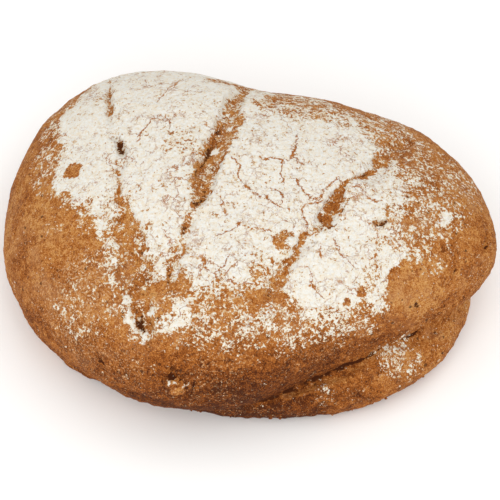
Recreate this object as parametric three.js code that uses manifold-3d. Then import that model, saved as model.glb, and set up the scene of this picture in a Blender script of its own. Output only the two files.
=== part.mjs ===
// A floured walnut bread loaf: a hand-shaped oval dome that was slashed three times across the crown and
// burst along its front right side, where the dough below pushed out as a lower lobe.
// Millimetres, +Z up, x along the loaf with the fat end at -x, flat base on z = 0.
import * as THREE from 'three';
import { mergeVertices } from 'three/addons/utils/BufferGeometryUtils.js';
import Module from 'manifold-3d';

const DEGREE = Math.PI / 180;

// The risen dome, a ball of dough with an uneven plan
const DOME = {
  facets: 16, // splits of each edge of the ball
  radius: 97, // mean plan radius at the widest line
  crown: 82, // height of the top
  lean: -0.05, // share by which the crown rises per 100 mm along x
  belly: 24, // height of the widest line away from the split
  bellyLift: 15, // how much higher the widest line runs above the split
  splitSide: -42 * DEGREE, // direction of the split as seen from the middle
  undercut: 50, // depth below the widest line at which the underside would close
  fullness: 2.2, // shoulders of the upper half, 2 being an ellipse
};

// Waves in the dome's plan: bulges round the loaf, how far they swell, and the angle one of them points to
const PLAN_WAVES = [
  { bulges: 1, swell: 9, towards: 166 * DEGREE }, // the fat end
  { bulges: 2, swell: 13.5, towards: -4 * DEGREE }, // the oval
  { bulges: 3, swell: 6.7, towards: 11 * DEGREE }, // the egg taper and the hollow back
  { bulges: 5, swell: 1, towards: -15 * DEGREE }, // the corners left by the hands
  { bulges: 6, swell: 0.7, towards: 10 * DEGREE },
];

// The blunt nose at the narrow end, where the dome hangs over the split
const NOSE = { swell: 7, towards: -9 * DEGREE, spread: 13 * DEGREE };

// The lower lobe, an oval cushion of dough that shows under the lifted side of the dome
const LOBE = {
  facets: 11,
  centre: new THREE.Vector2(10, -8),
  halfLength: 92.5,
  halfWidth: 74.5,
  squareness: 2.2, // corners of the plan, 2 being an ellipse
  belly: 13, // height of the widest line
  crown: 39, // height of the top, inside the dome
  undercut: 34, // depth below the widest line at which the underside would close
};

// The foot, where the dome's base spread on the baking tray at the left front
const FOOT = {
  facets: 7,
  centre: new THREE.Vector2(-36, -32),
  halfLength: 57,
  halfWidth: 35.5,
  squareness: 2,
  belly: 5,
  crown: 17,
  undercut: 12,
};

// Uneven crust: how high the swellings are and how far apart
const CRUST = { swell: 0.7, spacing: 44 };
const BURST_CRUST = { swell: 0.7, spacing: 21 };
const HEART = new THREE.Vector3(0, 0, 30); // point that the crust swells away from

// Slashes in the crown, as plan points from the back to the front, opened to a half width and a depth
const SLASHES = [
  { line: [[-66, 74], [-64, 38], [-58, 14], [-58, -14]], halfWidth: 2.2, depth: 2.2 }, // left, thin end
  { line: [[-58, -10], [-52, -30], [-50, -50], [-44, -76]], halfWidth: 6.5, depth: 2.6 }, // left, torn open
  { line: [[-1, 70], [-9, 41], [-16, 14], [-22, -19]], halfWidth: 5.4, depth: 3.2 }, // middle, torn open
  { line: [[-21, -16], [-27, -31], [-30, -40], [-35, -55]], halfWidth: 2.2, depth: 2 }, // middle, thin end
  { line: [[77, 38], [63, 19], [54, 4], [46, -1]], halfWidth: 5, depth: 2.4 }, // right, back strip
  { line: [[41, -6], [36, -16], [30, -28]], halfWidth: 4.2, depth: 3 }, // right, middle tear
  { line: [[29, -28], [20, -41], [13, -50], [5, -63]], halfWidth: 3.4, depth: 2.2 }, // right, front strip
];

// Cracks torn along the top of the lobe, just under the dome's lip
const LIP_CRACKS = [
  { line: [[12, -80], [29, -74.5], [41, -70], [53, -64.5]], halfWidth: 2.4, depth: 3.2 },
  { line: [[58, -59.5], [71, -54], [84, -46], [97, -30]], halfWidth: 1.5, depth: 2.4 },
];

// Pits in the crown, at a plan place, as half length, half width and depth, turned about the upright
const PITS = [
  { place: [-57.6, 16.5], size: [2.2, 4.4, 4], turn: 15 * DEGREE }, // beside the left slash
  { place: [-45, -69], size: [2.8, 4.6, 5], turn: 20 * DEGREE }, // front end of the left slash
  { place: [58, -21], size: [5, 1.8, 2.4], turn: 20 * DEGREE }, // short tear on the right shoulder
  { place: [107, -13], size: [2, 2.4, 2.4], turn: 0 }, // right end
  { place: [-107.5, 21], size: [2, 2.4, 2.4], turn: 0 }, // left end
  { place: [-65.5, -74], size: [2.2, 2.2, 2.6], turn: 0 }, // low on the left front
];

// Walnut pieces that lift the crust, at a place, as half width, half depth and half height
const WALNUTS = [
  { place: [-31.5, -85.6, 41], size: [6, 4, 4.2] }, // low on the front
  { place: [15.4, -34.5, 75.4], size: [6, 5.4, 3.2] }, // beside the right slash
];
const WALNUT = { facets: 3, folds: 5, foldDepth: 0.12 };

// Ragged gash: sides and steps of its spindle, how blunt its ends are, and the teeth along its edges
const GASH = { sides: 10, steps: 20, bluntness: 4, toothSpacing: 17, raggedness: 0.22 };

const PIT_FACETS = 1;
const TABLE = { side: 400, depth: 100 }; // block that the base is pressed flat against

const manifold = await Module();
manifold.setup();

/** Raises a value to a power, keeping its sign. */
function signedPower(value, exponent) {
  return Math.sign(value) * Math.abs(value) ** exponent;
}

/** How far the crust swells at a point, from -1 to 1, with swellings a spacing apart. */
function unevenness(point, spacing) {
  const pitch = 2 * Math.PI / spacing;
  const along = Math.sin(pitch * (point.x + 0.4 * point.y));
  const across = Math.sin(pitch * (0.8 * point.y - 0.5 * point.z) + 1.3);
  const oblique = Math.sin(pitch * (0.7 * point.x - 0.9 * point.y + 0.6 * point.z) + 2.6);
  return (along + across + oblique) / 3;
}

/** Moves a point of the crust away from the heart of the loaf by the crust's unevenness. */
function roughen(point, crust) {
  const outward = point.clone().sub(HEART).normalize();
  return point.addScaledVector(outward, crust.swell * unevenness(point, crust.spacing));
}

/** Plan radius of the dome's widest line towards an angle. */
function domeRadius(angle) {
  let radius = DOME.radius;
  for (const wave of PLAN_WAVES) {
    radius += wave.swell * Math.cos(wave.bulges * (angle - wave.towards));
  }
  return radius + NOSE.swell * Math.exp(-(((angle - NOSE.towards) / NOSE.spread) ** 2));
}

/** Height of the dome's widest line towards an angle: it rises above the split. */
function domeBelly(angle) {
  const nearness = 0.5 + 0.5 * Math.cos(angle - DOME.splitSide);
  return DOME.belly + DOME.bellyLift * nearness ** 1.5;
}

/** Turns a direction from the middle of a ball into a point of the dome's surface. */
function domePoint(direction) {
  const angle = Math.atan2(direction.y, direction.x);
  const upper = direction.z >= 0;
  const exponent = upper ? 2 / DOME.fullness : 1;
  const reach = domeRadius(angle) * Math.hypot(direction.x, direction.y) ** exponent;
  const rise = signedPower(direction.z, exponent);
  const belly = domeBelly(angle);
  const x = reach * Math.cos(angle);
  const crown = DOME.crown * (1 + DOME.lean * x / 100);
  const z = belly + rise * (upper ? crown - belly : DOME.undercut);
  return new THREE.Vector3(x, reach * Math.sin(angle), z);
}

/** Height of the dome's upper surface over a plan place. */
function crownHeight(x, y) {
  const angle = Math.atan2(y, x);
  const share = Math.min(1, Math.hypot(x, y) / domeRadius(angle));
  const level = Math.sqrt(1 - share ** DOME.fullness);
  return domePoint(new THREE.Vector3(x, y, 0).setLength(share ** (DOME.fullness / 2)).setZ(level)).z;
}

/** How far out a place lies in a cushion's plan, measured from its centre: 1 is the rim. */
function cushionShare(cushion, x, y) {
  const lengthwise = Math.abs(x / cushion.halfLength) ** cushion.squareness;
  const widthwise = Math.abs(y / cushion.halfWidth) ** cushion.squareness;
  return (lengthwise + widthwise) ** (1 / cushion.squareness);
}

/** Turns a direction from the middle of a ball into a point of a cushion's surface. */
function cushionPoint(cushion, direction) {
  const plan = new THREE.Vector2(direction.x, direction.y);
  const share = cushionShare(cushion, plan.x, plan.y);
  if (share > 0) plan.multiplyScalar(plan.length() / share);
  plan.add(cushion.centre);
  const height = direction.z >= 0 ? cushion.crown - cushion.belly : cushion.undercut;
  return new THREE.Vector3(plan.x, plan.y, cushion.belly + height * direction.z);
}

/** Height of the lobe's upper surface over a plan place. */
function lobeHeight(x, y) {
  const share = Math.min(1, cushionShare(LOBE, x - LOBE.centre.x, y - LOBE.centre.y));
  return LOBE.belly + (LOBE.crown - LOBE.belly) * Math.sqrt(1 - share ** 2);
}

/** Direction that a surface given by its height faces over a plan place. */
function facing(height, x, y) {
  const step = 0.5;
  const slopeX = (height(x + step, y) - height(x - step, y)) / (2 * step);
  const slopeY = (height(x, y + step) - height(x, y - step)) / (2 * step);
  return new THREE.Vector3(-slopeX, -slopeY, 1).normalize();
}

/** Moves every vertex of a geometry to where a function of its place puts it. */
function reshape(geometry, place) {
  const positions = geometry.attributes.position;
  const vertex = new THREE.Vector3();
  for (let index = 0; index < positions.count; index += 1) {
    const moved = place(vertex.fromBufferAttribute(positions, index).clone());
    positions.setXYZ(index, moved.x, moved.y, moved.z);
  }
  return geometry;
}

/** A ball of even triangles, whose vertices lie one unit from the middle. */
function ball(facets) {
  return welded(new THREE.IcosahedronGeometry(1, facets));
}

/** A geometry with its shared vertices merged, so that it is closed. */
function welded(geometry) {
  geometry.deleteAttribute('normal');
  geometry.deleteAttribute('uv');
  return mergeVertices(geometry, 1e-5);
}

/** The dome as a closed ball of dough that still reaches below the table. */
function domeGeometry() {
  return reshape(ball(DOME.facets), (direction) => roughen(domePoint(direction), CRUST));
}

/** A cushion of dough that bulges out under the dome, closed below the table too. */
function cushionGeometry(cushion) {
  return reshape(ball(cushion.facets), (direction) => roughen(cushionPoint(cushion, direction), BURST_CRUST));
}

/** How wide a gash of a length is next to its widest, at a place from -1 to 1 along it: blunt and ragged. */
function gashProfile(along, sideways, length) {
  const body = Math.sqrt(1 - Math.abs(along) ** GASH.bluntness);
  const turn = Math.PI * along * length / GASH.toothSpacing;
  const teeth = 0.6 * Math.sin(turn + 2 * Math.sign(sideways)) + 0.4 * Math.sin(2.3 * turn - sideways);
  return body * (1 + GASH.raggedness * teeth);
}

/** A blunt spindle that follows a line over a surface and tears a gash of its half width and depth there. */
function gashGeometry({ line, halfWidth, depth }, height) {
  const path = new THREE.CatmullRomCurve3(line.map(([x, y]) => new THREE.Vector3(x, y, 0)));
  const spindle = welded(new THREE.SphereGeometry(1, GASH.sides, GASH.steps));
  return reshape(spindle, (vertex) => {
    const along = THREE.MathUtils.clamp(vertex.y, -1, 1);
    const share = (1 - along) / 2;
    const around = Math.atan2(vertex.z, vertex.x);
    const reach = gashProfile(along, vertex.x, path.getLength());
    const point = path.getPointAt(share);
    const normal = facing(height, point.x, point.y);
    const side = normal.clone().cross(path.getTangentAt(share)).normalize();
    point.z = height(point.x, point.y);
    point.addScaledVector(side, halfWidth * reach * Math.cos(around));
    return point.addScaledVector(normal, depth * reach * Math.sin(around));
  });
}

/** A small ellipsoid sunk into the crown, which cuts a pit. */
function pitGeometry({ place: [x, y], size, turn }) {
  const upright = new THREE.Vector3(0, 0, 1);
  const tilt = new THREE.Quaternion().setFromUnitVectors(upright, facing(crownHeight, x, y));
  return ball(PIT_FACETS)
    .scale(...size)
    .rotateZ(turn)
    .applyQuaternion(tilt)
    .translate(x, y, crownHeight(x, y));
}

/** A walnut piece, folded like the nut. */
function walnutGeometry({ place, size }) {
  const folded = reshape(ball(WALNUT.facets), (vertex) => {
    const fold = Math.sin(WALNUT.folds * vertex.x) * Math.cos(WALNUT.folds * vertex.z + vertex.y);
    return vertex.multiplyScalar(1 + WALNUT.foldDepth * fold);
  });
  return folded.scale(...size).translate(...place);
}

/** The table, as a block whose top is the plane of the base. */
function tableGeometry() {
  return welded(new THREE.BoxGeometry(TABLE.side, TABLE.side, TABLE.depth)).translate(0, 0, -TABLE.depth / 2);
}

/** A closed geometry as a solid that can be joined and cut. */
function solid(geometry) {
  const vertProperties = new Float32Array(geometry.attributes.position.array);
  const triVerts = new Uint32Array(geometry.index.array);
  return new manifold.Manifold(new manifold.Mesh({ numProp: 3, vertProperties, triVerts }));
}

/** A solid's surface as a geometry whose base is centred on the origin. */
function standing(body) {
  const { vertProperties, triVerts } = body.getMesh();
  const geometry = new THREE.BufferGeometry();
  geometry.setAttribute('position', new THREE.BufferAttribute(vertProperties, 3));
  geometry.setIndex(new THREE.BufferAttribute(triVerts, 1));
  geometry.computeBoundingBox();
  const middle = geometry.boundingBox.getCenter(new THREE.Vector3());
  geometry.translate(-middle.x, -middle.y, -geometry.boundingBox.min.z);
  geometry.computeVertexNormals();
  return geometry;
}

/** The whole loaf in one piece: dome, cushions and walnuts joined, then torn, pitted and pressed flat. */
function loafGeometry() {
  const joined = [cushionGeometry(LOBE), cushionGeometry(FOOT), ...WALNUTS.map(walnutGeometry)];
  const cuts = [
    ...SLASHES.map((slash) => gashGeometry(slash, crownHeight)),
    ...LIP_CRACKS.map((crack) => gashGeometry(crack, lobeHeight)),
    ...PITS.map(pitGeometry),
    tableGeometry(),
  ];
  const dough = joined.reduce((body, geometry) => body.add(solid(geometry)), solid(domeGeometry()));
  return standing(cuts.reduce((body, geometry) => body.subtract(solid(geometry)), dough));
}

const crust = new THREE.MeshStandardMaterial({ color: '#b8763a', roughness: 0.85, metalness: 0 });
const loaf = new THREE.Mesh(loafGeometry(), crust);
loaf.name = 'loaf';

const bread = new THREE.Group();
bread.add(loaf);

export default bread;
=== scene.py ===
"""A floured walnut bread loaf on a pale table.

The loaf's fine skin is grown from its solid: slashes, split and pits are torn open, the crust gets its
lumps, and a baked, bran-flecked finish shows through a cracked dusting of flour. Places on the loaf are
in millimetres in the loaf's own frame; everything that is built is in metres.
"""
import logging
import math
import random
from collections.abc import Sequence
from dataclasses import dataclass, field
from enum import Enum, IntEnum
from typing import ClassVar, NamedTuple

import bmesh
import bpy
import numpy as np
from mathutils import Matrix, Vector, noise
from mathutils.bvhtree import BVHTree


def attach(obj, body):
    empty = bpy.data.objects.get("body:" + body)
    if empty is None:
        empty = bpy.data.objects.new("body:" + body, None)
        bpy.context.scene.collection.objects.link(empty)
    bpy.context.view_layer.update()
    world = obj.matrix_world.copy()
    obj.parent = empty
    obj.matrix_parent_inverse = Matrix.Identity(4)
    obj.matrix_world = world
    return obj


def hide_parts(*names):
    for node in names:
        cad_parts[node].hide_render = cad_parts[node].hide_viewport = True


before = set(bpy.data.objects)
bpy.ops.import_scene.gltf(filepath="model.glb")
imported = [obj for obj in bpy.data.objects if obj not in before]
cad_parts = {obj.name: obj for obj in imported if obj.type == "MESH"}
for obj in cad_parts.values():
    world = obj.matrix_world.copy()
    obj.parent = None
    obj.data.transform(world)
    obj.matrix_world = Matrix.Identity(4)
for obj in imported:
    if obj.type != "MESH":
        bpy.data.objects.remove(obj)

LOG = logging.getLogger("loaf")
MM = 0.001
SEED = 7
FIELD_SHIFT = Vector((17.3, 5.7, 11.9))  # from one field of random values to the next
FALL_OFF, FINER = 1.0, 2.0  # each layer of a random field is half as strong and half as wide as the last
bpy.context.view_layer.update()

Place = tuple[float, float, float]
Range = tuple[float, float]
Colour = tuple[int, int, int]
Socket = bpy.types.NodeSocket


class Channel(str, Enum):
    """Values painted on the loaf's vertices for its finish to read."""

    FLOUR = "flour_cover"
    BAKE = "bake"
    CRACK = "crack"
    CRACK_SIDE = "crack_side"
    # Painted shade in the creases, pits and split, with dark pores in the torn strips.
    SHADE_AND_PORES = "tear"
    DUST = "dust"


class Chance(IntEnum):
    """Fields of random values, by what they are used for."""

    RELIEF = 0
    PATCH_EDGE = 3
    FLOUR_EDGE = 11
    FLOUR_MOTTLE = 12
    FLOUR_DRIFT = 13
    CRACK_WANDER = 20
    BROWNING = 30
    DUST = 40
    STREAKS = 50


def ease(values: np.ndarray, low: float, high: float) -> np.ndarray:
    """Smooth step of values from 0 at low to 1 at high; high may be the smaller one."""
    share = np.clip((values - low) / (high - low), 0.0, 1.0)
    return share * share * (3.0 - 2.0 * share)


def grain(points: np.ndarray, spacing: float, octaves: int, chance: int) -> np.ndarray:
    """Smooth random values from about -1 to 1 at points, with lumps a spacing apart.

    Args:
        points: Places of shape (n, 3).
        spacing: Distance between lumps, in the points' unit.
        octaves: How many layers are added up, each finer than the last.
        chance: Picks one field of values.

    Returns:
        One value for each point.
    """
    shift = FIELD_SHIFT * (SEED + chance)
    scaled = (points / spacing).tolist()
    return np.array([noise.fractal(Vector(point) + shift, FALL_OFF, FINER, octaves) for point in scaled])


class Nearest(NamedTuple):
    """Where points are from a line: how far, how far along it from 0 to 1, and on which side, -1 or 1."""

    distance: np.ndarray
    share: np.ndarray
    side: np.ndarray


def nearest_on(points: np.ndarray, line: np.ndarray) -> Nearest:
    """Finds where points are from a line of straight stretches.

    Args:
        points: Places of shape (n, 3).
        line: Corners of the line, of shape (m, 3).

    Returns:
        Each point's distance, share along the line and side, seen from above.
    """
    nearest = np.full(len(points), np.inf)
    share = np.zeros(len(points))
    side = np.ones(len(points))
    lengths = np.linalg.norm(np.diff(line, axis=0), axis=1)
    walked = np.concatenate([[0.0], np.cumsum(lengths)])
    for start, end, length, before in zip(line[:-1], line[1:], lengths, walked):
        along = np.clip((points - start) @ (end - start) / length**2, 0.0, 1.0)
        distance = np.linalg.norm(points - start - along[:, None] * (end - start), axis=1)
        closer = distance < nearest
        nearest[closer] = distance[closer]
        share[closer] = (before + along[closer] * length) / walked[-1]
        turn = np.cross((end - start)[:2], (points - start)[:, :2])
        side[closer] = np.where(turn[closer] < 0.0, -1.0, 1.0)
    return Nearest(nearest, share, side)


def inside_plan(points: np.ndarray, outline: np.ndarray) -> np.ndarray:
    """Whether points lie inside a closed outline, seen from above.

    Args:
        points: Places of shape (n, 3).
        outline: Corners of the outline, of shape (m, 3).

    Returns:
        True for each point inside.
    """
    inside = np.zeros(len(points), dtype=bool)
    for (x0, y0, _), (x1, y1, _) in zip(outline, np.roll(outline, -1, axis=0)):
        crosses = (y0 > points[:, 1]) != (y1 > points[:, 1])
        reach = x0 + (points[:, 1] - y0) * (x1 - x0) / (y1 - y0 if y1 != y0 else 1.0)
        inside ^= crosses & (points[:, 0] < reach)
    return inside


def new_object(name: str, data: bpy.types.ID) -> bpy.types.Object:
    """Puts an object into the scene.

    Args:
        name: The object's name.
        data: Its mesh, light or camera.

    Returns:
        The new object.
    """
    made = bpy.data.objects.new(name, data)
    bpy.context.scene.collection.objects.link(made)
    return made


def shade_smooth(mesh: bpy.types.Mesh) -> None:
    """Lets the light run smoothly over the faces of a mesh."""
    mesh.polygons.foreach_set("use_smooth", np.ones(len(mesh.polygons), dtype=bool))


@dataclass(frozen=True)
class Skin:
    """The loaf's fine skin as arrays: where its vertices are, in mm, and which way they face."""

    mesh: bpy.types.Mesh
    points: np.ndarray
    normals: np.ndarray
    tree: BVHTree

    @classmethod
    def of(cls, mesh: bpy.types.Mesh) -> "Skin":
        """Reads the skin of a mesh.

        Args:
            mesh: A mesh in metres.

        Returns:
            Its skin, in mm.
        """
        points = np.empty(len(mesh.vertices) * 3)
        normals = np.empty(len(mesh.vertices) * 3)
        mesh.vertices.foreach_get("co", points)
        mesh.vertices.foreach_get("normal", normals)
        faces = bmesh.new()
        faces.from_mesh(mesh)
        tree = BVHTree.FromBMesh(faces)
        faces.free()
        return cls(mesh, points.reshape(-1, 3) / MM, normals.reshape(-1, 3), tree)

    def snap(self, places: np.ndarray) -> np.ndarray:
        """The places on the skin nearest to some rough places, as an array of shape (n, 3)."""
        found = [self.tree.find_nearest(Vector(place) * MM)[0] for place in places.tolist()]
        return np.array(found) / MM

    def lay(self, places: Sequence[Place], step: float = 2.0) -> tuple[np.ndarray, np.ndarray]:
        """Lays a line over the skin.

        Args:
            places: Rough places that the line runs through, in mm.
            step: Distance between the line's corners, in mm.

        Returns:
            The line's corners, and how far along the line each place is, from 0 to 1.
        """
        rough = np.array(places, dtype=float)
        walked = np.concatenate([[0.0], np.cumsum(np.linalg.norm(np.diff(rough, axis=0), axis=1))])
        stations = np.linspace(0.0, walked[-1], max(2, round(walked[-1] / step) + 1))
        corners = np.stack([np.interp(stations, walked, rough[:, axis]) for axis in range(3)], axis=1)
        return self.snap(corners), walked / walked[-1]

    def push(self, heights: np.ndarray) -> "Skin":
        """Moves the vertices along their normals, but not below the table.

        Args:
            heights: How far each vertex moves, in mm.

        Returns:
            The new skin of the same mesh.
        """
        moved = self.points + self.normals * heights[:, None]
        moved[:, 2] = np.maximum(moved[:, 2], 0.0)
        self.mesh.vertices.foreach_set("co", (moved * MM).ravel())
        self.mesh.update()
        return Skin.of(self.mesh)

    def paint(self, channel: Channel, values: np.ndarray) -> None:
        """Keeps a value from 0 to 1 for each vertex in one of the finish's channels."""
        attribute = self.mesh.attributes.new(channel.value, "FLOAT", "POINT")
        attribute.data.foreach_set("value", np.clip(values, 0.0, 1.0).astype(np.float32))


@dataclass(frozen=True)
class Stroke:
    """A line over the crust, such as a slash or a crack, with its half width at each of its places.

    The crust is torn to a depth and keeps a cover of flour, which thins out over a blur. The edge wanders
    by a share of the width, its raggedness, and by a tooth in mm.
    """

    SEARCH: ClassVar[float] = 8.0  # how far outside the stroke its ragged edge may matter
    TOOTH_SPACING: ClassVar[float] = 4.0

    places: tuple[Place, ...]
    half_widths: tuple[float, ...]
    depth: float = 0.0
    cover: float = 0.05
    raggedness: float = 0.4
    tooth: float = 1.6
    blur: float = 2.0

    def reach(self, skin: Skin) -> np.ndarray:
        """How far each vertex is from the stroke's edge.

        Args:
            skin: The skin that the stroke runs over.

        Returns:
            One distance for each vertex, in mm, below 0 inside the stroke.
        """
        line, stops = skin.lay(self.places)
        distance, share, _ = nearest_on(skin.points, line)
        width = np.interp(share, stops, self.half_widths)
        near = distance < width + self.SEARCH
        teeth = np.zeros(len(distance))
        teeth[near] = grain(skin.points[near], self.TOOTH_SPACING, 3, len(self.places))
        return distance - width * (1.0 + self.raggedness * teeth) - np.minimum(self.tooth, width) * teeth


@dataclass(frozen=True)
class Patch:
    """A round place on the crust with a soft, ragged edge, and how floury, dusty or brown it is there."""

    FINEST_EDGE: ClassVar[float] = 4.0  # least distance between the bends of its edge

    place: Place
    radius: float
    amount: float
    softness: float = 3.0
    raggedness: float = 0.45

    def weight(self, skin: Skin) -> np.ndarray:
        """How strongly each vertex belongs to the patch.

        Args:
            skin: The skin that the patch is on.

        Returns:
            A share from 0 to 1 for each vertex.
        """
        centre = skin.snap(np.array([self.place]))[0]
        distance = np.linalg.norm(skin.points - centre, axis=1)
        near = distance < self.radius * (1.0 + self.raggedness) + self.softness
        weight = np.zeros(len(distance))
        teeth = grain(skin.points[near], max(self.FINEST_EDGE, self.radius), 3, Chance.PATCH_EDGE)
        edge = distance[near] - self.radius * (1.0 + self.raggedness * teeth)
        weight[near] = ease(edge, self.softness * 0.5, -self.softness * 0.5)
        return weight


def lay_patches(skin: Skin, values: np.ndarray, patches: Sequence[Patch]) -> np.ndarray:
    """Brings values on the skin to the patches' amounts, a later patch over an earlier one.

    Args:
        skin: The skin that the patches are on.
        values: One value for each vertex.
        patches: The patches, in order.

    Returns:
        The new values.
    """
    for patch in patches:
        values = values + (patch.amount - values) * patch.weight(skin)
    return values


@dataclass(frozen=True)
class Clumps:
    """Clumps of flour that fell along a line, with the range of their radius, in mm."""

    places: tuple[Place, ...]
    count: int
    spread: float
    radius: Range
    cover: float = 0.95
    softness: float = 1.6

    def patches(self, skin: Skin) -> list[Patch]:
        """Scatters the clumps by chance along the line.

        Args:
            skin: The skin that they fell on.

        Returns:
            The clumps as small patches.
        """
        line, _ = skin.lay(self.places)
        dice = random.Random(SEED)
        found = []
        for _ in range(self.count):
            x, y, z = line[dice.randrange(len(line))]
            x, y = (along + dice.uniform(-self.spread, self.spread) for along in (x, y))
            found.append(Patch((x, y, z), dice.uniform(*self.radius), self.cover, self.softness))
        return found


@dataclass(frozen=True)
class FlourEdge:
    """A place on the edge of the floured crown, and how many mm the flour takes to thin out there."""

    place: Place
    softness: float


@dataclass(frozen=True)
class Knob:
    """A walnut piece that lifts the crust; its slope runs between two shares of its radius."""

    place: Place
    radius: float
    height: float
    squash: Place = (1.0, 1.6, 1.6)
    slope: Range = (1.25, 0.45)

    def heights(self, skin: Skin) -> np.ndarray:
        """How far the crust is lifted.

        Args:
            skin: The skin over the walnut piece.

        Returns:
            One height for each vertex, in mm.
        """
        centre = skin.snap(np.array([self.place]))[0]
        distance = np.linalg.norm((skin.points - centre) * np.array(self.squash), axis=1)
        foot, top = self.slope
        return self.height * ease(distance, self.radius * foot, self.radius * top)


@dataclass(frozen=True)
class CrustRelief:
    """Sizes of the crust's own lumps, in mm: how far apart they are and how high."""

    swell: Range = (26.0, 0.55)
    lumps: Range = (8.0, 0.32)
    grit: Range = (2.6, 0.24)
    burrs: Range = (3.4, 0.5)
    low_facing: Range = (0.3, -0.1)

    def heights(self, skin: Skin) -> np.ndarray:
        """How high the crust stands, with burrs below the loaf's widest line.

        Args:
            skin: The eased skin.

        Returns:
            One height for each vertex, in mm.
        """
        layers = (self.swell, self.lumps, self.grit)
        even = sum(height * grain(skin.points, spacing, 2, Chance.RELIEF + step)
                   for step, (spacing, height) in enumerate(layers))
        spacing, height = self.burrs
        low = ease(skin.normals[:, 2], *self.low_facing)
        return even + low * height * grain(skin.points, spacing, 2, Chance.RELIEF + len(layers))


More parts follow.
